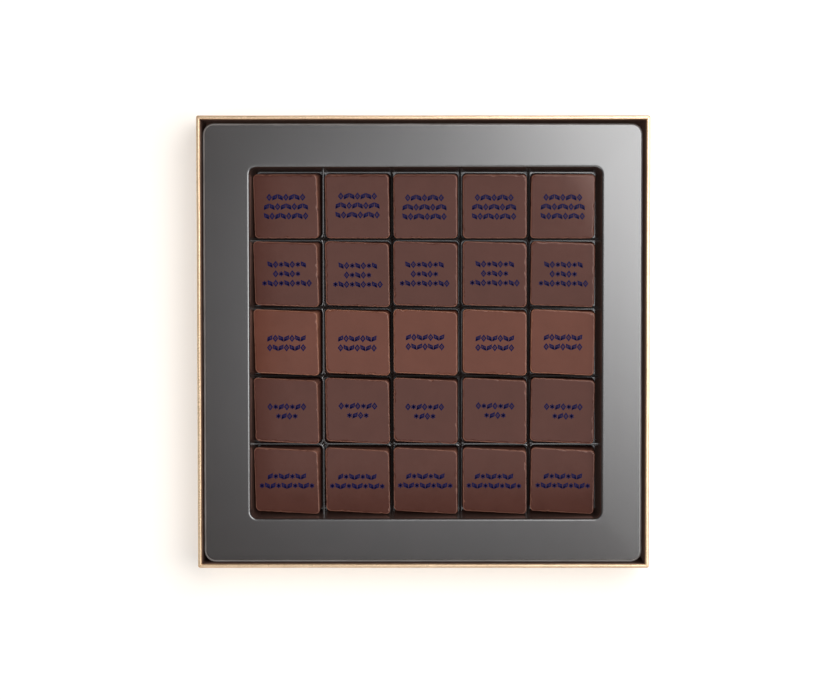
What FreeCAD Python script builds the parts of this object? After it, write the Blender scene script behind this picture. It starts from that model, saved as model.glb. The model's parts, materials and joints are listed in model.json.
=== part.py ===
"""Open chocolate box: a wrapped rigid base, a thermoformed tray and its moulded chocolates.

Millimetres. +Z is up, the origin is the centre of the underside, and the back of the box is at +Y.
"""

import FreeCAD, Part
import math
import os

# Chocolates, which the cells, the tray and the box are sized to
ROWS = 5
COLUMNS = 5
CHOCOLATE_SIDE = 24.0  # at the foot
CHOCOLATE_HEIGHT = 11.5
CHOCOLATE_CORNER_RADIUS = 1.5
CHOCOLATE_CORNER_FLATS = 4  # a corner's curve is turned in this many flats
CHOCOLATE_DRAFT = 0.25  # how far each side leans in between the foot and the bevel
CHOCOLATE_BEVEL = 0.3
CHOCOLATE_CLEARANCE = 0.225  # on each side of the foot, in its cell
ROW_TURNS = (0.0, 0.2, 0.3, 0.4, 0.4)  # degrees clockwise from above, back row first
COLUMN_TURNS = (-0.4, 0.0, 0.0, 0.2, 0.3)  # added to the row's turn, left column first

# Cells and their ribs
CELL_CORNER_RADIUS = 1.5
RIB_HEIGHT = 8.5
RIB_THICKNESS = 0.85
RIB_BEVEL = 0.25

# Tray
TRAY_SHEET = 0.5
WALL_RUN = 1.575  # how far each wall of the well slopes outward
WELL_CORNER_RADIUS = 2.6  # at the mouth, and less at the floor by the walls' run
LIP_INNER_ROUND = 0.3  # under the sheet
FLANGE_WIDTH = 15.8
WELL_SHIFT = 1.0  # the well is right of the tray's middle, so the left flange is the wide one
TRAY_CORNER_RADIUS = 4.2
SHOULDER_INNER_ROUND = 0.2  # under the sheet
SKIRT_FLARE = 0.2  # the skirt's foot stands out this far on each side

# Box base
BOX_HEIGHT = 24.0
FLANGE_DEPTH = 4.6  # flange below the rim
TRAY_CLEARANCE = 0.78  # on each side of the flange
TRAY_SHIFT_X = -0.2  # where the tray lies in its clearance
TRAY_SHIFT_Y = -0.45
LINING_THICKNESS = 0.12
LINING_DROP = 1.3  # the lining stops this far below the rim
BOARD_THICKNESS = 1.0
WRAP_THICKNESS = 0.15
RIM_ROUND = 0.45
WRAP_TURN_IN = 15.0  # depth of the wrap inside the walls
WRAP_TURN_UNDER = 12.0  # width of the wrap under the floor
BASE_SHEET_THICKNESS = 0.15
BASE_SHEET_MARGIN = 3.0  # the wrap shows this far in from the underside's edges

# Corner stays
STAY_THICKNESS = 0.1
STAY_WIDTH = 14.0
STAY_END_GAP = 0.4  # stays stop this short of the boards' top and bottom edges

BEVEL_SHARE = 2 - math.sqrt(2)  # of a round's radius: the bevel that touches its arc

# Heights, widths and places that follow
WRAP_BOTTOM = BASE_SHEET_THICKNESS
BOARD_BOTTOM = WRAP_BOTTOM + WRAP_THICKNESS
BOARD_TOP = BOX_HEIGHT - WRAP_THICKNESS
FLOOR_TOP = BOARD_BOTTOM + BOARD_THICKNESS
TRAY_BOTTOM = FLOOR_TOP + LINING_THICKNESS
CELL_FLOOR = TRAY_BOTTOM + TRAY_SHEET
RIB_LEVEL = CELL_FLOOR + RIB_HEIGHT
FLANGE_LEVEL = BOX_HEIGHT - FLANGE_DEPTH
LIP_ROUND = LIP_INNER_ROUND + TRAY_SHEET
SHOULDER_ROUND = SHOULDER_INNER_ROUND + TRAY_SHEET
CELL_PITCH = CHOCOLATE_SIDE + 2 * CHOCOLATE_CLEARANCE + RIB_THICKNESS
WELL_FLOOR = COLUMNS * CELL_PITCH - RIB_THICKNESS
WELL_MOUTH = WELL_FLOOR + 2 * WALL_RUN
TRAY_SIDE = WELL_MOUTH + 2 * FLANGE_WIDTH
LINED_INNER = TRAY_SIDE + 2 * TRAY_CLEARANCE
RIM_INNER = LINED_INNER + 2 * LINING_THICKNESS
BOARD_INNER = RIM_INNER + 2 * WRAP_THICKNESS
BOARD_OUTER = BOARD_INNER + 2 * BOARD_THICKNESS
WRAP_INNER = BOARD_OUTER + 2 * STAY_THICKNESS
BOX_SIDE = WRAP_INNER + 2 * WRAP_THICKNESS
RIM_BEVEL = BEVEL_SHARE * (RIM_ROUND - WRAP_THICKNESS)
TRAY_CENTRE = (TRAY_SHIFT_X, TRAY_SHIFT_Y)
WELL_CENTRE = (TRAY_SHIFT_X + WELL_SHIFT, TRAY_SHIFT_Y)
UP = FreeCAD.Vector(0, 0, 1)
QUARTER = 90  # degrees


def block(x_low, x_high, y_low, y_high, z_low, z_high):
    """Box between two opposite corners."""
    corner = FreeCAD.Vector(x_low, y_low, z_low)
    return Part.makeBox(x_high - x_low, y_high - y_low, z_high - z_low, corner)


def plate(side, z_low, z_high):
    """Square plate about the box's axis."""
    half = side / 2
    return block(-half, half, -half, half, z_low, z_high)


def core_of(centre, side, radius):
    """The rectangle between the corner centres of a rounded square."""
    x, y = centre
    half = side / 2 - radius
    return x - half, x + half, y - half, y + half


def rounded_solid(core, levels):
    """Solid through rounded rectangles: a core rectangle grown by a radius at each height.

    Its sides are planes, and its corners are cones or cylinders. levels are (height, radius) pairs.
    """
    x_low, x_high, y_low, y_high = core
    corners = ((x_high, y_low), (x_high, y_high), (x_low, y_high), (x_low, y_low))

    def meeting(corner, side, level):
        """Where a corner's arc meets a side. Sides count from the front, anticlockwise."""
        x, y = corners[corner % len(corners)]
        z, radius = level
        angle = math.radians(QUARTER * (side - 1))
        return FreeCAD.Vector(x + radius * math.cos(angle), y + radius * math.sin(angle), z)

    def turned(shape, corner):
        """Surface or arc that a line or point sweeps round a corner."""
        return shape.revolve(FreeCAD.Vector(*corners[corner], 0), UP, QUARTER)

    faces = []
    for low, high in zip(levels, levels[1:]):
        for here in range(len(corners)):
            following = here + 1
            edge = Part.makeLine(meeting(here, here, low), meeting(here, here, high))
            faces.append(turned(edge, here))
            lower = [meeting(here, following, low), meeting(following, following, low)]
            upper = [meeting(following, following, high), meeting(here, following, high)]
            faces.append(Part.Face(Part.makePolygon(lower + upper + lower[:1])))
    for level in (levels[0], levels[-1]):
        rim = []
        for here in range(len(corners)):
            following = here + 1
            rim += turned(Part.Vertex(meeting(here, here, level)), here).Edges
            rim.append(Part.makeLine(meeting(here, following, level), meeting(following, following, level)))
        faces.append(Part.Face(Part.Wire(rim)))
    shell = Part.Shell(faces)
    shell.sewShape()
    return Part.Solid(shell)


def drafted_solid(centre, levels):
    """Solid through squares whose corners turn in a few flats. levels are (height, side) pairs."""
    rings = []
    for z, side in levels:
        x_low, x_high, y_low, y_high = core_of(centre, side, CHOCOLATE_CORNER_RADIUS)
        corners = ((x_high, y_low), (x_high, y_high), (x_low, y_high), (x_low, y_low))
        ring = []
        for turn, (x, y) in enumerate(corners):
            for step in range(CHOCOLATE_CORNER_FLATS + 1):
                angle = math.radians(QUARTER * (turn - 1 + step / CHOCOLATE_CORNER_FLATS))
                across = CHOCOLATE_CORNER_RADIUS * math.cos(angle)
                along = CHOCOLATE_CORNER_RADIUS * math.sin(angle)
                ring.append(FreeCAD.Vector(x + across, y + along, z))
        rings.append(ring + ring[:1])
    faces = [Part.Face(Part.makePolygon(ring)) for ring in (rings[0], rings[-1])]
    for low, high in zip(rings, rings[1:]):
        for here in range(len(low) - 1):
            quad = [low[here], low[here + 1], high[here + 1], high[here]]
            faces.append(Part.Face(Part.makePolygon(quad + quad[:1])))
    shell = Part.Shell(faces)
    shell.sewShape()
    return Part.Solid(shell)


def level_edges(shape, z):
    """Edges that lie flat at one height."""
    tolerance = shape.BoundBox.DiagonalLength / 1e6
    ends = lambda edge: (edge.BoundBox.ZMin, edge.BoundBox.ZMax)
    return [e for e in shape.Edges if all(abs(end - z) < tolerance for end in ends(e))]


def hoop(outer, inner, z_low, z_high):
    """Square hoop about the box's axis."""
    return plate(outer, z_low, z_high).cut(plate(inner, z_low, z_high))


def wall_space(outer):
    """Space of the walls inside the wrap, with bevelled top edges."""
    walls = hoop(outer, BOARD_INNER, BOARD_BOTTOM, BOARD_TOP)
    return walls.makeChamfer(RIM_BEVEL, level_edges(walls, BOARD_TOP))


def make_floor_board():
    return plate(BOARD_INNER, BOARD_BOTTOM, FLOOR_TOP)


def make_wall_boards():
    """Front and back boards run the full width, and the side boards stand between them."""
    walls = wall_space(BOARD_OUTER)
    outer = BOARD_OUTER / 2
    inner = BOARD_INNER / 2
    spans = {
        "front": (-outer, outer, -outer, -inner),
        "back": (-outer, outer, inner, outer),
        "left": (-outer, -inner, -inner, inner),
        "right": (inner, outer, -inner, inner),
    }
    boards = {}
    for side, span in spans.items():
        boards[f"wall_board_{side}"] = walls.common(block(*span, 0, BOX_HEIGHT))
    return boards


def make_corner_stays():
    """Paper strips folded round the corners, outside the boards and under the wrap."""
    strip = hoop(WRAP_INNER, BOARD_OUTER, BOARD_BOTTOM + STAY_END_GAP, BOARD_TOP - STAY_END_GAP)
    outer = WRAP_INNER / 2
    reach = outer - STAY_WIDTH
    stays = {}
    for depth, y_side in (("front", -1), ("back", 1)):
        for side, x_side in (("left", -1), ("right", 1)):
            x_ends = sorted((x_side * reach, x_side * outer))
            y_ends = sorted((y_side * reach, y_side * outer))
            corner = block(*x_ends, *y_ends, 0, BOX_HEIGHT)
            stays[f"corner_stay_{depth}_{side}"] = strip.common(corner)
    return stays


def make_outer_wrap():
    """One sheet: under the floor's edges, up the outside, over the rim and down the inside."""
    outside = hoop(BOX_SIDE, RIM_INNER, WRAP_BOTTOM, BOX_HEIGHT)
    outside = outside.makeFillet(RIM_ROUND, level_edges(outside, BOX_HEIGHT))
    below_turn_in = plate(BOARD_INNER, BOARD_BOTTOM, BOX_HEIGHT - WRAP_TURN_IN)
    under = hoop(RIM_INNER, BOX_SIDE - 2 * WRAP_TURN_UNDER, WRAP_BOTTOM, BOARD_BOTTOM)
    return outside.cut([wall_space(WRAP_INNER), below_turn_in]).fuse(under).removeSplitter()


def make_base_sheet():
    return plate(BOX_SIDE - 2 * BASE_SHEET_MARGIN, 0, BASE_SHEET_THICKNESS)


def make_wall_lining():
    return hoop(RIM_INNER, LINED_INNER, FLOOR_TOP, BOX_HEIGHT - LINING_DROP)


def make_floor_lining():
    return plate(LINED_INNER, FLOOR_TOP, TRAY_BOTTOM)


def well_solid(growth, z_low, z_high, lip_bevel):
    """Space between the well's sloping walls, moved out by a growth, wider at the top by a bevel."""
    core = core_of(WELL_CENTRE, WELL_MOUTH, WELL_CORNER_RADIUS)
    slope = WALL_RUN / (FLANGE_LEVEL - CELL_FLOOR)
    radius = lambda z: WELL_CORNER_RADIUS - slope * (FLANGE_LEVEL - z) + growth
    levels = [(z, radius(z)) for z in (z_low, z_high - lip_bevel)]
    if lip_bevel:
        levels.append((z_high, radius(z_high) + lip_bevel))
    return rounded_solid(core, levels)


def tray_solid(growth, z_high, shoulder_bevel):
    """Space inside the skirt, moved out by a growth, narrower at the top by a bevel."""
    core = core_of(TRAY_CENTRE, TRAY_SIDE, TRAY_CORNER_RADIUS)
    slope = SKIRT_FLARE / (FLANGE_LEVEL - TRAY_BOTTOM)
    radius = lambda z: TRAY_CORNER_RADIUS + slope * (FLANGE_LEVEL - z) + growth
    levels = [(z, radius(z)) for z in (TRAY_BOTTOM, z_high - shoulder_bevel)]
    if shoulder_bevel:
        levels.append((z_high, radius(z_high) - shoulder_bevel))
    return rounded_solid(core, levels)


def cell_centre(row, column):
    """Middle of a cell, counted from the back left."""
    x, y = WELL_CENTRE
    across = (column - (COLUMNS - 1) / 2) * CELL_PITCH
    along = ((ROWS - 1) / 2 - row) * CELL_PITCH
    return x + across, y + along


def make_cell(row, column):
    """Space of one cell: it runs out through the well's wall on the sides that have no rib."""
    side = CELL_PITCH - RIB_THICKNESS
    x_low, x_high, y_low, y_high = core_of(cell_centre(row, column), side, CELL_CORNER_RADIUS)
    past_wall = 2 * WALL_RUN + CELL_CORNER_RADIUS
    core = (
        x_low - (past_wall if column == 0 else 0),
        x_high + (past_wall if column == COLUMNS - 1 else 0),
        y_low - (past_wall if row == ROWS - 1 else 0),
        y_high + (past_wall if row == 0 else 0),
    )
    levels = (
        (CELL_FLOOR, CELL_CORNER_RADIUS),
        (RIB_LEVEL - RIB_BEVEL, CELL_CORNER_RADIUS),
        (RIB_LEVEL, CELL_CORNER_RADIUS + RIB_BEVEL),
    )
    return rounded_solid(core, levels)


def make_ribs():
    """Grid of ribs between the cells, with bevelled crests, ending on the well's walls."""
    space = well_solid(0, CELL_FLOOR, RIB_LEVEL, 0)
    return space.cut([make_cell(row, column) for row in range(ROWS) for column in range(COLUMNS)])


def make_tray():
    """Thin formed sheet: skirt, flange, rounded lip, sloping well, cell floors and ribs."""
    sheet = tray_solid(0, FLANGE_LEVEL, 0).cut(well_solid(0, CELL_FLOOR, FLANGE_LEVEL, 0))
    x, y = WELL_CENTRE
    middle = (TRAY_SIDE + WELL_MOUTH) / 4
    reach = lambda edge: max(abs(edge.CenterOfMass.x - x), abs(edge.CenterOfMass.y - y))
    lip = [e for e in level_edges(sheet, FLANGE_LEVEL) if reach(e) < middle]
    sheet = sheet.makeFillet(LIP_ROUND, lip)
    shoulder = [e for e in level_edges(sheet, FLANGE_LEVEL) if reach(e) > middle]
    sheet = sheet.makeFillet(SHOULDER_ROUND, shoulder)
    ceiling = FLANGE_LEVEL - TRAY_SHEET
    hollow = tray_solid(-TRAY_SHEET, ceiling, BEVEL_SHARE * SHOULDER_INNER_ROUND)
    hollow = hollow.cut(well_solid(TRAY_SHEET, TRAY_BOTTOM, ceiling, BEVEL_SHARE * LIP_INNER_ROUND))
    return sheet.cut(hollow).fuse(make_ribs()).removeSplitter()


def make_chocolate(row, column):
    """Drafted square with a bevelled top edge, lying a little turned in its cell."""
    x, y = cell_centre(row, column)
    top = CELL_FLOOR + CHOCOLATE_HEIGHT
    under_bevel = CHOCOLATE_SIDE - 2 * CHOCOLATE_DRAFT
    levels = (
        (CELL_FLOOR, CHOCOLATE_SIDE),
        (top - CHOCOLATE_BEVEL, under_bevel),
        (top, under_bevel - 2 * CHOCOLATE_BEVEL),
    )
    chocolate = drafted_solid((x, y), levels)
    clockwise = ROW_TURNS[row] + COLUMN_TURNS[column]
    chocolate.rotate(FreeCAD.Vector(x, y, 0), UP, -clockwise)
    return chocolate


def make_parts():
    parts = {
        "floor_board": make_floor_board(),
        "outer_wrap": make_outer_wrap(),
        "base_sheet": make_base_sheet(),
        "wall_lining": make_wall_lining(),
        "floor_lining": make_floor_lining(),
        "tray": make_tray(),
    }
    parts.update(make_wall_boards())
    parts.update(make_corner_stays())
    for row in range(ROWS):
        for column in range(COLUMNS):
            parts[f"chocolate_r{row + 1}c{column + 1}"] = make_chocolate(row, column)
    return parts


os.makedirs("parts", exist_ok=True)
for name, shape in make_parts().items():
    print(name, shape.isValid(), len(shape.Solids), round(shape.Volume, 3))
    shape.exportStep(f"parts/{name}.step")
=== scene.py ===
import json
import math
import random

import bmesh
import bpy
from mathutils import Matrix, Vector, noise


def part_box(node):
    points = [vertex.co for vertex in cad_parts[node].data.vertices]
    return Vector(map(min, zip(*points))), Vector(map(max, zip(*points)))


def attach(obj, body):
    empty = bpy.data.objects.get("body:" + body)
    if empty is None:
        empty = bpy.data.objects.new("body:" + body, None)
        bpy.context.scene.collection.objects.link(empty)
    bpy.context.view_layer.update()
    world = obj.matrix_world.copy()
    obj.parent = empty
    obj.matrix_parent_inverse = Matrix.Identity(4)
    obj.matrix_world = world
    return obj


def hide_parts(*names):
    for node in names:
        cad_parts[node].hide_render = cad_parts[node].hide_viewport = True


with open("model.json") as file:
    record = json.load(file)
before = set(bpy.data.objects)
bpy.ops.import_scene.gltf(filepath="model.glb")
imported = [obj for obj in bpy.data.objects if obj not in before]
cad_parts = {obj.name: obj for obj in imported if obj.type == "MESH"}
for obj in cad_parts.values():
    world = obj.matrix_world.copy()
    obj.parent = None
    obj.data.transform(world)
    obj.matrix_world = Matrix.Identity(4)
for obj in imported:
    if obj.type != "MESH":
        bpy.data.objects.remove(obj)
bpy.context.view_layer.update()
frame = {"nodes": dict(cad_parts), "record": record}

MM = 0.001
QUARTER = math.pi / 2

# The photograph's frame, in pixels
IMAGE_WIDTH = 840
IMAGE_HEIGHT = 700
BOX_CENTRE_PX = (423.3, 342.6)
BOX_SIDE_PX = 452.6
EYE_PX = (460, 260)  # the camera stands straight above this spot of the rim's plane

# Camera
EYE_HEIGHT = 0.93  # metres above the rim
FILM_LEAN = math.radians(2.6)

# Box sizes, in metres
BOX_LOW, BOX_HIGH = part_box("outer_wrap")
BOX_SIDE = BOX_HIGH.x - BOX_LOW.x
RIM_LEVEL = BOX_HIGH.z
WRAP_BOTTOM = BOX_LOW.z
WRAP_CORNER_RADIUS = 0.7 * MM
RIM_WIDTH = 1.4 * MM
RIM_ROUND = 0.45 * MM
FOOT_ROUND = 0.4 * MM
WRAP_THICKNESS = 0.15 * MM
WRAP_TURN_IN = 15 * MM
WRAP_TURN_UNDER = 12 * MM
WRAP_WAVE = 0.06 * MM  # how far the hand-wrapped rim wanders
WRAP_WAVE_RATE = 40  # cycles per metre
SEAM_WIDTH = 0.2 * MM

# Tray sizes, in metres
TRAY_LOW, TRAY_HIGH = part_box("tray")
TRAY_CENTRE = (TRAY_LOW + TRAY_HIGH) / 2
TRAY_BOTTOM = TRAY_LOW.z
TRAY_SHEET = 0.5 * MM
TRAY_CORNER_RADIUS = 4.2 * MM
SHOULDER_ROUND = 0.7 * MM
FLANGE_HALF = (TRAY_HIGH.x - TRAY_LOW.x) / 2
FLANGE_LEVEL = TRAY_HIGH.z
FLANGE_WIDTH = 16.0 * MM
FLANGE_FALL = 0.15 * MM  # the flange sags this far from the lip to the shoulder
WELL_SHIFT = 1.0 * MM  # the well lies this far right of the tray's middle
CELL_SHIFT = 0.35 * MM  # and its cells this far behind its mouth
WELL_HALF = FLANGE_HALF - FLANGE_WIDTH
MOUTH_CENTRE = TRAY_CENTRE + Vector((WELL_SHIFT, 0, 0))
WELL_CENTRE = MOUTH_CENTRE + Vector((0, CELL_SHIFT, 0))
WELL_CORNER_RADIUS = 2.6 * MM
LIP_ROUND = 0.8 * MM
FLAT_STEP = 0.3 * MM  # where the flange is flat again beside a round
CELL_FLOOR = TRAY_BOTTOM + TRAY_SHEET
CELL_PITCH = 25.3 * MM
CELL_CORNER_RADIUS = 1.5 * MM
WALL_RUN = 1.575 * MM  # how far the well's walls come in, down to its floor
WALL_SLOPE = WALL_RUN / (FLANGE_LEVEL - CELL_FLOOR)
RIB_HEIGHT = 8.5 * MM
RIB_LEVEL = CELL_FLOOR + RIB_HEIGHT
RIB_THICKNESS = 0.85 * MM
RIB_ROUND = 0.15 * MM
RIB_SINK = 0.3 * MM  # the ribs run this far into the walls
RIB_WELD = 0.01 * MM  # points of the ribs nearer than this are one
HIGHLIGHT_ROW = 4  # the crest in front of this row gets a painted highlight
HIGHLIGHT_COLUMN = 1  # and so does the crest right of this column
POST_DIMPLE = 0.3 * MM
POST_RINGS = ((1, 0), (0.7, 0.15), (0.4, 0.7))  # shares of a post's width and of its dimple's depth

# Chocolate sizes, in metres
ROWS = 5
COLUMNS = 5
MILK_ROW = 3
CHOCOLATE_FOOT = 24.0 * MM
CHOCOLATE_TOP = 23.5 * MM  # above the draft, under the bevel
CHOCOLATE_CORNER_RADIUS = 1.5 * MM
CHOCOLATE_BEVEL = 0.4 * MM
FOOT_SHIFT = 0.2 * MM  # the feet stand this much further back than those of the solids
SIDE_SHARES = (0, 0.03, 0.25, 0.5, 0.75, 0.97)  # the sides' rings, in shares of the way up to the bevel
TOP_SHARES = (0.985, 0.95, 0.8, 0.55, 0.25)  # the top's rings, in shares of its width

# How the tops lie over their feet: rows from the back, columns from the left
ROW_SLOPES = (0.0, 2.2, 2.9, 3.0, 3.3)  # degrees: the tops' cross edges fall to the right
COLUMN_LEANS = (1.9, 1.2, 0.3, 0.1, -1.2)  # degrees: their other edges run to the right, towards the front
ROW_SHIFTS = (-0.6, -0.2, 0.0, 0.0, -0.6)  # millimetres back
COLUMN_SHIFTS = (-0.9, 0.1, -0.15, 0.1, -0.2)  # millimetres right
SKEW_POWER = 3  # the shift and skew grow by this power of the height

# Wear of the chocolates' edges, in metres
WEAR_START = 0.9  # share of the height at which it begins
WEAR_SPAN = 0.1  # and over which it grows
EDGE_WAVE = 0.05 * MM
EDGE_WAVE_RATE = 900  # cycles per metre
SIDE_WAVE = 0.4  # share of the wave on the sides
PATCH_REACH = 9  # how far off a chocolate's own patch of noise may lie, in cycles
CHIP_DEPTH = 0.16 * MM
CHIP_LENGTH = 0.7 * MM
CHIP_DROP = 0.6  # how far a chip goes down, as a share of how far it goes in
CHIP_SIZES = (0.4, 1.0)
CHIP_COUNTS = (3, 6)

# Print on the chocolates, in metres
MARK_SIZE = 2.0 * MM
MARK_PITCH = 2.05 * MM
LINE_PITCH = 3.45 * MM
STROKE = 0.47 * MM
MARK_RISE = 0.02 * MM
MARK_SINK = 0.06 * MM
MITRE_LIMIT = 0.5  # least cosine of half a joint's turn, which keeps its mitre short
PRINT_WANDER = 0.35 * MM  # how far off the middle a print may sit, each way

# Steps of outlines: along a side and round a corner
CELL_CORNER_STEPS = 6
WRAP_STEPS = (60, 6)
SHEET_STEPS = (12, 8)
CELL_STEPS = (1, CELL_CORNER_STEPS)
CHOCOLATE_STEPS = (44, 8)

# Steps of rounds: in a quarter turn
FOOT_STEPS = 5
RIM_STEPS = 6
SHOULDER_STEPS = 6
LIP_STEPS = 8
RIB_STEPS = 5
BEVEL_STEPS = 5
SHOULDER_BANDS = range(2, SHOULDER_STEPS + 1)  # the sheet's bands on the shoulder, but for the lowest, which take the painted highlight

# Faces by their normals
SHARP_ANGLE = math.radians(40)
LEVEL_NORMAL = 0.9  # a face is level where its normal's z is more than this
UPRIGHT_NORMAL = 0.5  # and upright where it is less than this
LIT_FOLD_FACING = 0.3  # a fold that faces out this far is left pale as painted light, and the others get painted shade

# Depths of the finishes' relief, in metres
FIBRE_DEPTH = 0.02 * MM
SHEET_WAVE_DEPTH = 0.1 * MM
SHEET_GRAIN_DEPTH = 0.01 * MM
SCUFF_DEPTH = 0.02 * MM
PIT_DEPTH = 0.01 * MM

# Rates of the finishes' noise, in cycles per metre
FIBRE_RATE = 5200
PAPER_CLOUD_RATE = 260
GOLD_CLOUD_RATE = 180
SHEET_CLOUD_RATE = 90
SHEET_WAVE_RATE = 45
SHEET_GRAIN_RATE = 3800
COCOA_CLOUD_RATE = 130
RUBBED_RATE = 500
SCUFF_RATE = 700
PIT_RATE = 2600
BLOTCH_RATE = 1500
NOISE_LOW, NOISE_HIGH = 0.3, 0.7  # noise mostly lies between these

# Stage: each lamp has a place, an aim, a width and a height, in metres, and a power in watts
FLOOR_REACH = 4.0
FLOOR_COLOUR = (0.92, 0.86, 0.79, 1.0)
FLOOR_GLOW = 0.32  # shown to the eye and in reflections, and lighting nothing
MIDDLE = (0, 0, 0)
PANEL = ((-0.002, -0.024, 1.37), (-0.002, -0.024, 0), 0.315, 0.302, 0.38)
PANEL_COLOUR = (0.92, 0.95, 1.0)
KEY = ((0.467, 0.247, 1.11), MIDDLE, 1.0, 0.83, 11.5)
FILL = ((-0.85, -0.60, 0.80), MIDDLE, 0.9, 0.9, 6.0)
FRONT = ((-0.1, -0.75, 0.85), MIDDLE, 1.0, 0.6, 3.0)
WORLD_STRENGTH = 0.15


def outline(half_x, half_y, radius, side_steps, corner_steps):
    """Points of a rounded rectangle and their outward normals, anticlockwise from the front right."""
    corners = ((1, -1), (1, 1), (-1, 1), (-1, -1))
    cores = [Vector((x * (half_x - radius), y * (half_y - radius))) for x, y in corners]
    points = []
    for i, core in enumerate(cores):
        for step in range(corner_steps + 1):
            angle = (i - 1 + step / corner_steps) * QUARTER
            normal = Vector((math.cos(angle), math.sin(angle)))
            points.append((core + radius * normal, normal))
        after = cores[(i + 1) % len(cores)]
        for step in range(1, side_steps):
            points.append((core.lerp(after, step / side_steps) + radius * normal, normal))
    return points


def quarter_turn(steps):
    """Angles of a quarter circle."""
    return [i / steps * QUARTER for i in range(steps + 1)]


def add_ring(bm, centre, points, z):
    """Vertices on an outline's points about a centre, at one height."""
    return [bm.verts.new((centre.x + point.x, centre.y + point.y, z)) for point, normal in points]


def bridge(bm, lower, upper):
    """Quads between two closed rings of as many vertices."""
    faces = []
    for i in range(len(lower)):
        j = (i + 1) % len(lower)
        faces.append(bm.faces.new((lower[i], lower[j], upper[j], upper[i])))
    return faces


def new_piece(name, mesh_builder, materials, body):
    """Links a piece made by bmesh code, smooth but for its sharp edges, and lets it ride on a body."""
    mesh = bpy.data.meshes.new(name)
    bm = bmesh.new()
    mesh_builder(bm)
    bmesh.ops.recalc_face_normals(bm, faces=bm.faces)
    bm.to_mesh(mesh)
    bm.free()
    mesh.shade_smooth()
    mesh.set_sharp_from_angle(angle=SHARP_ANGLE)
    for material in materials:
        mesh.materials.append(material)
    piece = bpy.data.objects.new(name, mesh)
    bpy.context.scene.collection.objects.link(piece)
    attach(piece, body)
    return piece


# Nodes of the materials


def new_material(name):
    """A material, its node tree and its Principled shader."""
    material = bpy.data.materials.new(name)
    material.use_nodes = True
    tree = material.node_tree
    return material, tree, tree.nodes["Principled BSDF"]


def add_place(tree, output):
    """The piece's own coordinates or normals."""
    place = tree.nodes.get("Place") or tree.nodes.new("ShaderNodeTexCoord")
    place.name = "Place"
    return place.outputs[output]


def add_noise(tree, rate, detail=3.0):
    """Noise in the piece's own coordinates, at a rate in cycles per metre."""
    texture = tree.nodes.new("ShaderNodeTexNoise")
    texture.inputs["Scale"].default_value = rate
    texture.inputs["Detail"].default_value = detail
    tree.links.new(add_place(tree, "Object"), texture.inputs["Vector"])
    return texture.outputs["Fac"]


def add_math(tree, operation, *values):
    """An operation on linked values."""
    node = tree.nodes.new("ShaderNodeMath")
    node.operation = operation
    for socket, value in zip(node.inputs, values):
        tree.links.new(value, socket)
    return node.outputs["Value"]


def add_parts(tree, vector):
    """The x, y and z of a vector."""
    node = tree.nodes.new("ShaderNodeSeparateXYZ")
    tree.links.new(vector, node.inputs["Vector"])
    return [node.outputs[axis] for axis in ("X", "Y", "Z")]


def add_tilt(tree):
    """How level a face lies: 1 on flat faces, 0 on upright ones."""
    return add_math(tree, "ABSOLUTE", add_parts(tree, add_place(tree, "Normal"))[2])


def add_mix(tree, factor, first, second):
    """Mixes two linked colours."""
    node = tree.nodes.new("ShaderNodeMix")
    node.data_type = "RGBA"
    tree.links.new(factor, node.inputs["Factor"])
    tree.links.new(first, node.inputs["A"])
    tree.links.new(second, node.inputs["B"])
    return node.outputs["Result"]


def add_ramp(tree, factor, stops):
    """Colour ramp over a factor: stops are (position, colour) pairs."""
    ramp = tree.nodes.new("ShaderNodeValToRGB")
    elements = ramp.color_ramp.elements
    while len(elements) < len(stops):
        elements.new(0.5)
    for element, (position, colour) in zip(elements, stops):
        element.position = position
        element.color = (*colour, 1.0)
    tree.links.new(factor, ramp.inputs["Fac"])
    return ramp.outputs["Color"]


def add_shade(tree, noise_factor, dark, light):
    """A colour that clouds from dark to light by noise."""
    return add_ramp(tree, noise_factor, ((NOISE_LOW, dark), (NOISE_HIGH, light)))


def add_band(tree, factor, start, full, late, end):
    """A mask that rises from start to full and falls from late to end."""
    black, white = (0, 0, 0), (1, 1, 1)
    return add_ramp(tree, factor, ((start, black), (full, white), (late, white), (end, black)))


def add_range(tree, factor, low, high, start=NOISE_LOW, end=NOISE_HIGH):
    """Maps a factor between start and end to a range from low to high."""
    node = tree.nodes.new("ShaderNodeMapRange")
    for name, value in (("From Min", start), ("From Max", end), ("To Min", low), ("To Max", high)):
        node.inputs[name].default_value = value
    tree.links.new(factor, node.inputs["Value"])
    return node.outputs["Result"]


def add_bump(tree, height, strength, distance, below=None):
    """Bump from a height, laid over another bump where one is given."""
    node = tree.nodes.new("ShaderNodeBump")
    node.inputs["Strength"].default_value = strength
    node.inputs["Distance"].default_value = distance
    tree.links.new(height, node.inputs["Height"])
    if below is not None:
        tree.links.new(below, node.inputs["Normal"])
    return node.outputs["Normal"]


# Materials


def paper(name, light, dark, roughness, grain, sheen=0.5):
    """Coated or bare paper: cloudy colour, fibre grain and uneven gloss."""
    material, tree, shader = new_material(name)
    cloud = add_noise(tree, PAPER_CLOUD_RATE)
    fibre = add_noise(tree, FIBRE_RATE, 2.0)
    tree.links.new(add_shade(tree, cloud, dark, light), shader.inputs["Base Color"])
    tree.links.new(add_range(tree, fibre, *roughness), shader.inputs["Roughness"])
    tree.links.new(add_bump(tree, fibre, grain, FIBRE_DEPTH), shader.inputs["Normal"])
    shader.inputs["Specular IOR Level"].default_value = sheen
    return material


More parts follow.
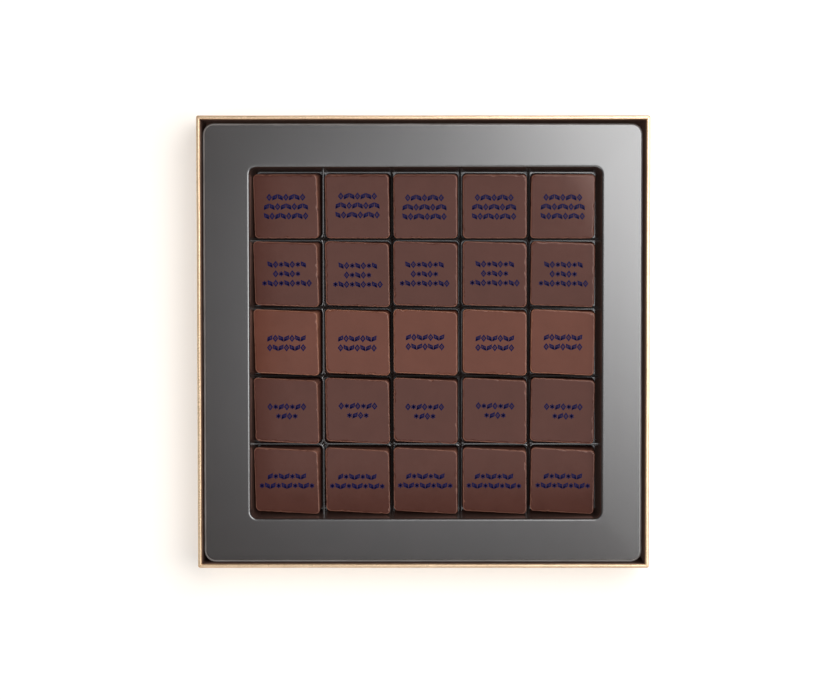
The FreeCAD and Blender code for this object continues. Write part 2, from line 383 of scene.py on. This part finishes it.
def gold_paper():
    """Champagne metallic paper: darker along the corner seams, and deeper in its rounded folds as painted
    shade.

    The outer folds at the left and right stay pale, as painted light.
    """
    material, tree, shader = new_material("gold_paper")
    fibre = add_noise(tree, FIBRE_RATE, 2.0)
    cloud = add_noise(tree, GOLD_CLOUD_RATE)
    pale = add_shade(tree, cloud, (0.82, 0.59, 0.38), (0.92, 0.69, 0.46))
    # painted shade: the deeper colour of the rounded folds, also used for the dark corner seams
    deep_shade_and_seam = add_shade(tree, cloud, (0.42, 0.20, 0.08), (0.56, 0.28, 0.12))
    # painted shade mask: the rounded faces of the folds
    fold_shade_mask = add_band(tree, add_tilt(tree), 0.1, 0.3, 0.75, 0.97)
    x, y = add_parts(tree, add_place(tree, "Object"))[:2]
    facing = add_parts(tree, add_place(tree, "Normal"))[0]
    # painted light: folds that face out at the left and right keep the pale colour
    outward = add_math(tree, "MULTIPLY", x, facing)
    shaded = add_range(tree, outward, 1.0, 0.0, 0.0, LIT_FOLD_FACING * BOX_SIDE / 2)
    fold_shaded_colour = add_mix(tree, add_math(tree, "MULTIPLY", fold_shade_mask, shaded), pale, deep_shade_and_seam)
    from_middle = [add_math(tree, "ABSOLUTE", part) for part in (x, y)]
    seam = add_math(tree, "ABSOLUTE", add_math(tree, "SUBTRACT", *from_middle))
    beside = add_range(tree, seam, 0.0, 1.0, 0.0, SEAM_WIDTH)
    tree.links.new(add_mix(tree, beside, deep_shade_and_seam, fold_shaded_colour), shader.inputs["Base Color"])
    tree.links.new(add_range(tree, fibre, 0.22, 0.34), shader.inputs["Roughness"])
    tree.links.new(add_bump(tree, fibre, 0.25, FIBRE_DEPTH), shader.inputs["Normal"])
    shader.inputs["Metallic"].default_value = 0.6
    return material


def tray_plastic(name, light, dark, roughness, ior):
    """Dark brown formed sheet: a satin sheen, a faint waviness and a fine grain.

    Its steep faces are painted browner and lighter: a painted reflection of the brown chocolates and
    painted light in the well.
    """
    material, tree, shader = new_material(name)
    cloud = add_noise(tree, SHEET_CLOUD_RATE)
    flat = add_shade(tree, cloud, dark, light)
    # painted reflection and painted light: the browner, lighter colour of the steep walls
    wall_reflection = add_shade(tree, cloud, (0.065, 0.041, 0.034), (0.082, 0.052, 0.043))
    wall_reflection_mask = add_range(tree, add_tilt(tree), 1.0, 0.0, 0.15, 0.5)
    tree.links.new(add_mix(tree, wall_reflection_mask, flat, wall_reflection), shader.inputs["Base Color"])
    grain = add_noise(tree, SHEET_GRAIN_RATE, 2.0)
    tree.links.new(add_range(tree, grain, *roughness), shader.inputs["Roughness"])
    wave = add_bump(tree, add_noise(tree, SHEET_WAVE_RATE, 1.0), 0.15, SHEET_WAVE_DEPTH)
    tree.links.new(add_bump(tree, grain, 0.06, SHEET_GRAIN_DEPTH, wave), shader.inputs["Normal"])
    shader.inputs["IOR"].default_value = ior
    return material


def chocolate(name, light, dark, worn):
    """Tempered chocolate: cloudy brown, with fine pits and scuffs, glossy on top, and lighter on its
    bevelled edges from wear and a painted highlight.
    """
    material, tree, shader = new_material(name)
    whole = add_shade(tree, add_noise(tree, COCOA_CLOUD_RATE), dark, light)
    # wear and painted highlight: the bevels are coloured lighter, standing in for their bright line as well
    rubbed_and_highlit = add_ramp(tree, add_noise(tree, RUBBED_RATE), ((0.25, light), (0.5, worn)))
    tilt = add_tilt(tree)
    edge_wear_and_highlight = add_band(tree, tilt, 0.1, 0.35, 0.9, 0.99)
    tree.links.new(add_mix(tree, edge_wear_and_highlight, whole, rubbed_and_highlit), shader.inputs["Base Color"])
    scuff = add_noise(tree, SCUFF_RATE, 4.0)
    gloss = add_range(tree, scuff, 0.06, 0.10)
    dull = add_range(tree, tilt, 0.5, 0.0, 0.9, 0.995)
    tree.links.new(add_math(tree, "MAXIMUM", gloss, dull), shader.inputs["Roughness"])
    swell = add_bump(tree, scuff, 0.05, SCUFF_DEPTH)
    pits = add_noise(tree, PIT_RATE)
    tree.links.new(add_bump(tree, pits, 0.04, PIT_DEPTH, swell), shader.inputs["Normal"])
    shader.inputs["Specular IOR Level"].default_value = 0.41
    shader.inputs["Specular Tint"].default_value = (1.0, 0.69, 0.61, 1.0)
    return material


def print_ink():
    """Navy cocoa-butter print, a little uneven."""
    material, tree, shader = new_material("print_ink")
    blotch = add_noise(tree, BLOTCH_RATE)
    colour = add_shade(tree, blotch, (0.001, 0.002, 0.038), (0.003, 0.004, 0.058))
    tree.links.new(colour, shader.inputs["Base Color"])
    tree.links.new(add_range(tree, blotch, 0.38, 0.5), shader.inputs["Roughness"])
    shader.inputs["Specular IOR Level"].default_value = 0.1
    return material


MATERIALS = {
    "gold_paper": gold_paper(),
    "brown_paper": paper(
        "brown_paper", (0.135, 0.078, 0.060), (0.110, 0.063, 0.049), (0.5, 0.65), grain=0.3, sheen=0.05
    ),
    "base_paper": paper("base_paper", (0.060, 0.040, 0.033), (0.045, 0.029, 0.024), (0.6, 0.75), grain=0.5),
    "stay_paper": paper("stay_paper", (0.42, 0.28, 0.15), (0.33, 0.21, 0.11), (0.7, 0.85), grain=0.6),
    "greyboard": paper("greyboard", (0.30, 0.28, 0.25), (0.20, 0.18, 0.16), (0.8, 0.9), grain=0.8),
    "tray_plastic": tray_plastic(
        "tray_plastic", (0.020, 0.013, 0.011), (0.015, 0.010, 0.008), (0.19, 0.235), ior=2.35
    ),
    # worn colours: the lighter bevels, both wear and a painted highlight
    "dark_chocolate": chocolate(
        "dark_chocolate", (0.084, 0.030, 0.022), (0.074, 0.026, 0.019), worn=(0.25, 0.110, 0.075)
    ),
    "milk_chocolate": chocolate(
        "milk_chocolate", (0.137, 0.045, 0.028), (0.121, 0.039, 0.024), worn=(0.34, 0.150, 0.095)
    ),
}
PRINT_INK = print_ink()

# The tray's finishes, and the numbers by which its faces name them
SHEET, EDGE_HIGHLIGHT, SHADED_RIB, SHADED_CROSS_RIB, HIGHLIGHT_RIB = range(5)
# painted shade: the ribs' colours, darker than the sheet's
SHADED_RIB_LIGHT = (0.012, 0.008, 0.007)
SHADED_RIB_DARK = (0.008, 0.005, 0.004)
TRAY_FINISHES = [
    MATERIALS["tray_plastic"],
    # painted highlight: a light grey copy of the sheet for the shoulder's bands, standing in for their
    # bright line
    tray_plastic("tray_edge_highlight", (0.30, 0.28, 0.27), (0.20, 0.18, 0.17), (0.3, 0.4), ior=1.8),
    # painted shade: the ribs take darker, duller copies of the sheet, and two crests a shinier copy as a
    # painted highlight
    tray_plastic("tray_rib_shade", SHADED_RIB_LIGHT, SHADED_RIB_DARK, (0.16, 0.22), ior=1.15),
    tray_plastic("cross_rib_shade", SHADED_RIB_LIGHT, SHADED_RIB_DARK, (0.26, 0.34), ior=1.2),
    tray_plastic("rib_highlight", SHADED_RIB_LIGHT, SHADED_RIB_DARK, (0.19, 0.235), ior=1.9),
]


def dress_cad_nodes():
    """Gives every CAD node the finish of its slot."""
    for subpart in frame["record"]["subparts"]:
        node = frame["nodes"][subpart["node"]]
        node.data.materials.clear()
        node.data.materials.append(MATERIALS[subpart["material_slot"]])


# Wrap


def wrap_profile(depth):
    """A face of the sheet as (inset, height) pairs, from under the floor to inside the wall.

    depth is how far the face lies inside the sheet's outer face.
    """
    foot = FOOT_ROUND - depth
    rim = RIM_ROUND - depth
    profile = [(WRAP_TURN_UNDER, WRAP_BOTTOM + depth)]
    for angle in quarter_turn(FOOT_STEPS):
        inset = FOOT_ROUND - foot * math.sin(angle)
        profile.append((inset, WRAP_BOTTOM + FOOT_ROUND - foot * math.cos(angle)))
    for angle in quarter_turn(RIM_STEPS):
        inset = RIM_ROUND - rim * math.cos(angle)
        profile.append((inset, RIM_LEVEL - RIM_ROUND + rim * math.sin(angle)))
    for angle in quarter_turn(RIM_STEPS):
        inset = RIM_WIDTH - RIM_ROUND + rim * math.sin(angle)
        profile.append((inset, RIM_LEVEL - RIM_ROUND + rim * math.cos(angle)))
    profile.append((RIM_WIDTH - depth, RIM_LEVEL - WRAP_TURN_IN))
    return profile


def build_wrap(bm):
    """Sweeps the sheet round the box, its edges wandering a little as on hand-wrapped boxes."""
    rings = []
    for inset, z in wrap_profile(0) + wrap_profile(WRAP_THICKNESS)[::-1]:
        half = BOX_SIDE / 2 - inset
        radius = max(WRAP_CORNER_RADIUS - inset, WRAP_THICKNESS)
        ring = []
        for point, normal in outline(half, half, radius, *WRAP_STEPS):
            place = (WRAP_WAVE_RATE * point.x, WRAP_WAVE_RATE * point.y, 0)
            spot = point + normal * WRAP_WAVE * noise.noise(place)
            ring.append(bm.verts.new((spot.x, spot.y, z)))
        rings.append(ring)
    for lower, upper in zip(rings, rings[1:] + rings[:1]):
        bridge(bm, lower, upper)


# Tray


def sheet_rings(depth):
    """Rings of one face of the tray's sheet: (centre, half width, corner radius, height).

    They run from the skirt's foot over the shoulder, flange and lip to the well's floor. depth is how
    far the face lies inside the sheet's upper face.
    """
    rings = [(TRAY_CENTRE, FLANGE_HALF - depth, TRAY_CORNER_RADIUS - depth, TRAY_BOTTOM)]
    shoulder = SHOULDER_ROUND - depth
    flange_edge = FLANGE_HALF - SHOULDER_ROUND
    edge_level = FLANGE_LEVEL - FLANGE_FALL - SHOULDER_ROUND
    corner = TRAY_CORNER_RADIUS - SHOULDER_ROUND
    for angle in quarter_turn(SHOULDER_STEPS):
        out = shoulder * math.cos(angle)
        level = edge_level + shoulder * math.sin(angle)
        rings.append((TRAY_CENTRE, flange_edge + out, corner + out, level))
    rings.append((TRAY_CENTRE, flange_edge - FLAT_STEP, corner - FLAT_STEP, edge_level + shoulder))
    slope = math.atan(WALL_SLOPE)
    lip = LIP_ROUND - depth
    flat_end = LIP_ROUND * (1 / math.cos(slope) - math.tan(slope))
    flat_half = WELL_HALF + flat_end + FLAT_STEP
    rings.append((MOUTH_CENTRE, flat_half, WELL_CORNER_RADIUS + flat_end, FLANGE_LEVEL - depth))
    for angle in quarter_turn(LIP_STEPS):
        tilt = angle * (1 - slope / QUARTER)
        out = flat_end - lip * math.sin(tilt)
        level = FLANGE_LEVEL - LIP_ROUND + lip * math.cos(tilt)
        rings.append((MOUTH_CENTRE, WELL_HALF + out, WELL_CORNER_RADIUS + out, level))
    out = depth - WALL_RUN
    rings.append((WELL_CENTRE, WELL_HALF + out, WELL_CORNER_RADIUS + out, CELL_FLOOR - depth))
    return rings


def build_sheet(bm):
    """The tray's sheet: both faces swept as rings, joined along the skirt's foot."""
    feet = []
    for depth in (0, TRAY_SHEET):
        rings = []
        for centre, half, radius, z in sheet_rings(depth):
            rings.append(add_ring(bm, centre, outline(half, half, radius, *SHEET_STEPS), z))
        for band, (lower, upper) in enumerate(zip(rings, rings[1:])):
            for face in bridge(bm, lower, upper):
                face.material_index = EDGE_HIGHLIGHT if band in SHOULDER_BANDS else SHEET
        bm.faces.new(rings[-1])
        feet.append(rings[0])
    bridge(bm, *feet)


def cell_centre(row, column):
    """Middle of a cell, counted from 1 at the back left."""
    across = (column - (COLUMNS + 1) / 2) * CELL_PITCH
    along = ((ROWS + 1) / 2 - row) * CELL_PITCH
    return WELL_CENTRE + Vector((across, along, 0))


def post_centre(row, column):
    """Where ribs cross, right of and in front of a cell."""
    return cell_centre(row, column) + Vector((CELL_PITCH, -CELL_PITCH, 0)) / 2


def build_cell_sides(bm, row, column):
    """The ribs' faces round one cell, up to the middle of their crests.

    Border cells run out past the well's walls, and are trimmed later.
    """
    past = 3 * WALL_RUN
    left = past if column == 1 else 0
    right = past if column == COLUMNS else 0
    front = past if row == ROWS else 0
    back = past if row == 1 else 0
    centre = cell_centre(row, column) + Vector((right - left, back - front, 0)) / 2
    levels = [(CELL_FLOOR, 0)]
    for angle in quarter_turn(RIB_STEPS):
        level = RIB_LEVEL - RIB_ROUND * (1 - math.sin(angle))
        levels.append((level, RIB_ROUND * (1 - math.cos(angle))))
    levels.append((RIB_LEVEL, RIB_THICKNESS / 2))
    half = (CELL_PITCH - RIB_THICKNESS) / 2
    rings = []
    for z, grown in levels:
        half_x = half + grown + (left + right) / 2
        half_y = half + grown + (front + back) / 2
        points = outline(half_x, half_y, CELL_CORNER_RADIUS + grown, *CELL_STEPS)
        rings.append(add_ring(bm, centre, points, z))
    for lower, upper in zip(rings, rings[1:]):
        bridge(bm, lower, upper)


def build_post(bm, row, column):
    """The dimpled star where ribs cross, right of and in front of a cell."""
    centre = post_centre(row, column)
    reach = CELL_CORNER_RADIUS + RIB_THICKNESS / 2
    star = []
    for quadrant in range(4):
        diagonal = (quadrant + 0.5) * QUARTER
        core = math.sqrt(2) * reach * Vector((math.cos(diagonal), math.sin(diagonal)))
        for step in range(CELL_CORNER_STEPS):
            angle = (quadrant + 3 - step / CELL_CORNER_STEPS) * QUARTER
            star.append(core + reach * Vector((math.cos(angle), math.sin(angle))))
    rings = []
    for share, drop in POST_RINGS:
        z = RIB_LEVEL - drop * POST_DIMPLE
        rings.append([bm.verts.new((centre.x + share * p.x, centre.y + share * p.y, z)) for p in star])
    for outer, inner in zip(rings, rings[1:]):
        bridge(bm, outer, inner)
    middle = bm.verts.new((centre.x, centre.y, RIB_LEVEL - POST_DIMPLE))
    for i, vertex in enumerate(rings[-1]):
        bm.faces.new((vertex, rings[-1][(i + 1) % len(star)], middle))


def rib_finish(face):
    """Which of the tray's finishes a rib's face takes: darker, duller copies as painted shade, but two
    crests a shinier copy as a painted highlight.
    """
    middle = face.calc_center_median()
    place = (middle - WELL_CENTRE) / CELL_PITCH
    across = abs(place.y % 1 - 0.5) < abs(place.x % 1 - 0.5)
    highlight_post = post_centre(HIGHLIGHT_ROW, HIGHLIGHT_COLUMN)
    gap = abs(middle.y - highlight_post.y) if across else abs(middle.x - highlight_post.x)
    if gap < RIB_THICKNESS and abs(face.normal.z) > LEVEL_NORMAL:
        return HIGHLIGHT_RIB
    return SHADED_CROSS_RIB if across else SHADED_RIB


def build_tray(bm):
    """Ribs and posts, trimmed to the well's walls, and then the sheet."""
    for row in range(1, ROWS + 1):
        for column in range(1, COLUMNS + 1):
            build_cell_sides(bm, row, column)
            if row < ROWS and column < COLUMNS:
                build_post(bm, row, column)
    bmesh.ops.remove_doubles(bm, verts=bm.verts, dist=RIB_WELD)
    bm.normal_update()
    for face in bm.faces:
        face.material_index = rib_finish(face)
    for side in range(4):
        out = Vector((math.cos(side * QUARTER), math.sin(side * QUARTER), 0))
        foot = WELL_CENTRE + out * (WELL_HALF - WALL_RUN + RIB_SINK)
        foot.z = CELL_FLOOR
        everything = bm.verts[:] + bm.edges[:] + bm.faces[:]
        normal = out - Vector((0, 0, WALL_SLOPE))
        bmesh.ops.bisect_plane(bm, geom=everything, plane_co=foot, plane_no=normal, clear_outer=True)
    build_sheet(bm)


# Chocolates


def cad_turn(node):
    """How far a chocolate's solid is turned about its axis, from its largest upright face."""
    faces = frame["nodes"][node].data.polygons
    side = max((f for f in faces if abs(f.normal.z) < UPRIGHT_NORMAL), key=lambda f: f.area)
    angle = math.atan2(side.normal.y, side.normal.x)
    return (angle + QUARTER / 2) % QUARTER - QUARTER / 2


def build_chocolate(height, shift, slope, lean, seed):
    """Returns a builder of one chocolate: drafted sides, an uneven bevel and a few chips.

    Its top is shifted and skewed by a slope and a lean, and its foot stays square in the cell.
    """
    random.seed(seed)
    patch = Vector([random.uniform(-PATCH_REACH, PATCH_REACH) for _ in range(3)])
    chips = []
    for _ in range(random.randint(*CHIP_COUNTS)):
        chips.append((random.uniform(0, 1), random.uniform(*CHIP_SIZES)))
    shoulder = height - CHOCOLATE_BEVEL
    draft = (CHOCOLATE_FOOT - CHOCOLATE_TOP) / 2
    levels = [(share * shoulder, share * draft) for share in SIDE_SHARES]
    for angle in quarter_turn(BEVEL_STEPS):
        inset = draft + CHOCOLATE_BEVEL * (1 - math.cos(angle))
        levels.append((shoulder + CHOCOLATE_BEVEL * math.sin(angle), inset))

    def skewed(point, z):
        share = (z / height) ** SKEW_POWER
        return point + share * (shift + Vector((-lean * point.y, -slope * point.x)))

    def worn_in(point, round_share, z, worn):
        wave = noise.noise(Vector((point.x, point.y, z)) * EDGE_WAVE_RATE + patch)
        wave = wave * EDGE_WAVE * (SIDE_WAVE + worn)
        for place, size in chips:
            gap = abs((round_share - place + 0.5) % 1.0 - 0.5) * 4 * CHOCOLATE_TOP
            wave -= worn * size * CHIP_DEPTH * math.exp(-((gap / (CHIP_LENGTH * size)) ** 2))
        return wave

    def build(bm):
        rings = []
        for z, inset in levels:
            half = CHOCOLATE_FOOT / 2 - inset
            worn = max(0.0, (z / height - WEAR_START) / WEAR_SPAN)
            points = outline(half, half, CHOCOLATE_CORNER_RADIUS, *CHOCOLATE_STEPS)
            ring = []
            for i, (point, normal) in enumerate(points):
                wave = worn_in(point, i / len(points), z, worn)
                spot = skewed(point + normal * wave, z)
                ring.append(bm.verts.new((spot.x, spot.y, z + CHIP_DROP * worn * min(wave, 0))))
            rings.append(ring)
        for share in TOP_SHARES:
            half = share * (CHOCOLATE_TOP / 2 - CHOCOLATE_BEVEL)
            points = outline(half, half, share * CHOCOLATE_CORNER_RADIUS, *CHOCOLATE_STEPS)
            skewed_points = [(skewed(point, height), normal) for point, normal in points]
            rings.append(add_ring(bm, Vector((0, 0)), skewed_points, height))
        for lower, upper in zip(rings, rings[1:]):
            bridge(bm, lower, upper)
        bm.faces.new(rings[0][::-1])
        bm.faces.new(rings[-1])

    return build


# Plain ornaments as lines through points, in shares of a mark's size; a closed line ends where it began
LOZENGE = [[(0, 0.5), (0.38, 0), (0, -0.5), (-0.38, 0), (0, 0.5)], [(-0.09, 0), (0.09, 0)]]
STAR = [[(0, -0.45), (0, 0.45)], [(-0.39, -0.22), (0.39, 0.22)], [(-0.39, 0.22), (0.39, -0.22)]]
LEAF = [
    [(-0.36, -0.42), (-0.3, 0.14), (0.36, 0.42), (0.3, -0.14), (-0.36, -0.42)],
    [(-0.36, -0.42), (0.1, 0.12)],
]
PETAL = [[(-x, y) for x, y in line] for line in LEAF]

# For each row of chocolates: its ornaments in turn, and how many stand in each line
MOTIFS = {
    1: ((LOZENGE, LEAF, PETAL), (7, 8, 8)),
    2: ((PETAL, LOZENGE, STAR), (7, 5, 9)),
    3: ((LEAF, LOZENGE, PETAL), (7, 7)),
    4: ((LOZENGE, STAR, LEAF), (7, 4)),
    5: ((LEAF, STAR, PETAL), (7, 10)),
}


def add_stroke(bm, place, line):
    """A raised line of print along points, its joints mitred; it closes where its ends meet."""
    points = [place + MARK_SIZE * Vector(point) for point in line]
    closed = (points[0] - points[-1]).length < MARK_RISE
    if closed:
        points.pop()
    sections = []
    for i, point in enumerate(points):
        before = points[i - 1] if closed or i else 2 * point - points[i + 1]
        after = points[(i + 1) % len(points)] if closed or i + 1 < len(points) else 2 * point - before
        ahead, behind = (after - point).normalized(), (point - before).normalized()
        along = (ahead + behind).normalized()
        across = Vector((-along.y, along.x)) * STROKE / 2 / max(along.dot(ahead), MITRE_LIMIT)
        sides = []
        for spot in (point - across, point + across):
            sides.append([bm.verts.new((spot.x, spot.y, z)) for z in (-MARK_SINK, MARK_RISE)])
        sections.append(sides[0] + sides[1][::-1])
    if closed:
        sections.append(sections[0])
    for start, end in zip(sections, sections[1:]):
        bridge(bm, start, end)
    if not closed:
        bm.faces.new(sections[0])
        bm.faces.new(sections[-1])


def build_print(row):
    """Returns a builder of a chocolate's print: centred lines of small plain ornaments."""
    ornaments, counts = MOTIFS[row]

    def build(bm):
        for line, count in enumerate(counts):
            y = ((len(counts) - 1) / 2 - line) * LINE_PITCH
            for i in range(count):
                place = Vector(((i - (count - 1) / 2) * MARK_PITCH, y))
                for stroke in ornaments[(i + line) % len(ornaments)]:
                    add_stroke(bm, place, stroke)

    return build


def make_chocolate(row, column):
    """One chocolate and its print, turned as its solid is and standing a little further back."""
    node = f"chocolate_r{row}c{column}"
    low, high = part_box(node)
    slot = "milk_chocolate" if row == MILK_ROW else "dark_chocolate"
    centre = (low + high) / 2
    turned = cad_turn(node)
    turn = Matrix.Rotation(turned, 4, "Z")
    slope = math.radians(ROW_SLOPES[row - 1]) + turned
    lean = math.radians(COLUMN_LEANS[column - 1]) - turned
    shift = Vector((COLUMN_SHIFTS[column - 1], ROW_SHIFTS[row - 1])) * MM

    def placed(builder, place):
        def build(bm):
            builder(bm)
            bmesh.ops.transform(bm, matrix=Matrix.Translation(place) @ turn, verts=bm.verts)

        return build

    foot = Vector((centre.x, centre.y + FOOT_SHIFT, low.z))
    top = Vector((foot.x + shift.x, foot.y + shift.y, high.z))
    body = placed(build_chocolate(high.z - low.z, shift, slope, lean, seed=10 * row + column), foot)
    piece = new_piece(f"moulded_{node}", body, [MATERIALS[slot]], node)
    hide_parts(node)
    wander = Vector((random.uniform(-1, 1), random.uniform(-1, 1), 0)) * PRINT_WANDER
    marks = new_piece(f"print_{node}", placed(build_print(row), top + wander), [PRINT_INK], node)
    for face in marks.data.polygons:
        face.use_smooth = False


# Stage


def make_floor():
    """Plain warm white floor, lighter to the eye than it is lit, with the box's shadow kept."""
    material, tree, shader = new_material("floor")
    shader.inputs["Base Color"].default_value = FLOOR_COLOUR
    shader.inputs["Roughness"].default_value = 0.9
    shader.inputs["Specular IOR Level"].default_value = 0.0
    path = tree.nodes.new("ShaderNodeLightPath")
    seen = add_math(tree, "MAXIMUM", path.outputs["Is Camera Ray"], path.outputs["Is Glossy Ray"])
    glow = add_range(tree, seen, 0.0, FLOOR_GLOW, 0.0, 1.0)
    tree.links.new(glow, shader.inputs["Emission Strength"])
    shader.inputs["Emission Color"].default_value = (1.0, 1.0, 1.0, 1.0)
    corners = ((-1, -1), (1, -1), (1, 1), (-1, 1))
    mesh = bpy.data.meshes.new("floor")
    mesh.from_pydata([(x * FLOOR_REACH, y * FLOOR_REACH, 0) for x, y in corners], [], [(0, 1, 2, 3)])
    mesh.materials.append(material)
    floor = bpy.data.objects.new("floor", mesh)
    bpy.context.scene.collection.objects.link(floor)


def add_softbox(name, place, aim, width, height, power):
    """A rectangular lamp aimed at a spot."""
    light = bpy.data.lights.new(name, "AREA")
    light.shape = "RECTANGLE"
    light.size = width
    light.size_y = height
    light.energy = power
    lamp = bpy.data.objects.new(name, light)
    lamp.location = place
    lamp.rotation_euler = (Vector(aim) - Vector(place)).to_track_quat("-Z", "Y").to_euler()
    bpy.context.scene.collection.objects.link(lamp)
    return lamp


def make_light():
    """A panel overhead, a bright softbox at the back right and a soft fill at the front left.

    A fourth lamp at the front only shows as a reflection, along the tray's lip.
    """
    world = bpy.data.worlds.new("studio")
    bpy.context.scene.world = world
    world.use_nodes = True
    background = world.node_tree.nodes["Background"]
    background.inputs["Color"].default_value = (1.0, 1.0, 1.0, 1.0)
    background.inputs["Strength"].default_value = WORLD_STRENGTH
    panel = add_softbox("panel", *PANEL)
    panel.data.color = PANEL_COLOUR
    add_softbox("key", *KEY)
    fill = add_softbox("fill", *FILL)
    fill.visible_glossy = False
    fill.data.use_shadow = False
    front = add_softbox("front", *FRONT)
    front.visible_diffuse = False


def make_camera():
    """Above the box, framed as the photograph is: its film leans a little, so the back shows wider."""
    metres_per_pixel = BOX_SIDE / BOX_SIDE_PX
    right = (EYE_PX[0] - BOX_CENTRE_PX[0]) * metres_per_pixel
    back = (BOX_CENTRE_PX[1] - EYE_PX[1]) * metres_per_pixel
    place = Vector((right, back, RIM_LEVEL + EYE_HEIGHT))
    turn = Matrix.Rotation(-FILM_LEAN, 3, "X")
    seen = turn.transposed() @ (Vector((0, 0, RIM_LEVEL)) - place)
    focus = -seen.z / metres_per_pixel
    camera = bpy.data.cameras.new("camera")
    camera.lens = camera.sensor_width * focus / IMAGE_WIDTH
    camera.shift_x = (seen.x / metres_per_pixel - BOX_CENTRE_PX[0]) / IMAGE_WIDTH + 0.5
    camera.shift_y = (seen.y / metres_per_pixel + BOX_CENTRE_PX[1] - IMAGE_HEIGHT / 2) / IMAGE_WIDTH
    eye = bpy.data.objects.new("camera", camera)
    eye.location = place
    eye.rotation_euler = turn.to_euler()
    bpy.context.scene.collection.objects.link(eye)
    bpy.context.scene.camera = eye


dress_cad_nodes()
wrap = new_piece("wrap_sheet", build_wrap, [MATERIALS["gold_paper"]], "box")
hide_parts("outer_wrap")
tray = new_piece("formed_tray", build_tray, TRAY_FINISHES, "tray")
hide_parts("tray")
for row in range(1, ROWS + 1):
    for column in range(1, COLUMNS + 1):
        make_chocolate(row, column)
make_floor()
make_light()
make_camera()
bpy.context.scene.view_settings.view_transform = "Standard"
